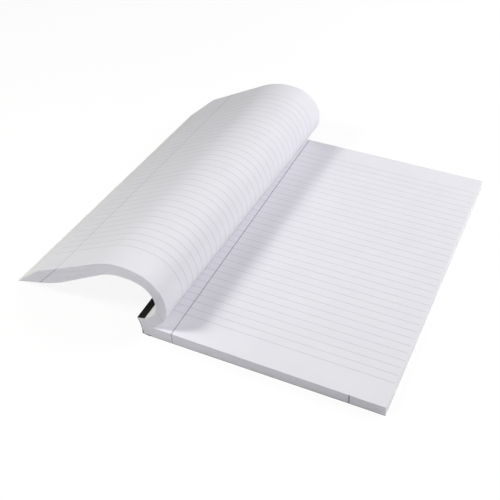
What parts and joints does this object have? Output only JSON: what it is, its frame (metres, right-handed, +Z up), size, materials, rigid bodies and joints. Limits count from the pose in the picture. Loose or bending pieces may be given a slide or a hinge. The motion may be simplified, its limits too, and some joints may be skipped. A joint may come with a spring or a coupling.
{
  "type": "lined notebook",
  "caption": "Side-bound notebook with ruled pages and a taped spine, lying open, one half flat and the other rolled up out of the gutter and over to the left.",
  "frame": {"origin": "middle of the back cover's underside, on the table", "axes": "+X across the pages, from the rolled half towards the flat half's fore edge; +Y along the spine, from the tail edge to the head edge; +Z up"},
  "size_m": [0.3449, 0.3077, 0.0707],
  "materials": {
    "paper": "matte",
    "cover_card": "matte",
    "glue": "satin",
    "tape": "matte",
    "rule_ink": "matte",
    "margin_ink": "matte"
  },
  "bodies": {
    "root": {"page_block": "paper", "front_cover": "cover_card", "back_cover": "cover_card", "spine_glue": "glue", "spine_tape": "tape", "left_page_ruling": "rule_ink", "right_page_ruling": "rule_ink", "left_margin_line": "margin_ink", "right_margin_line": "margin_ink"}
  },
  "joints": []
}
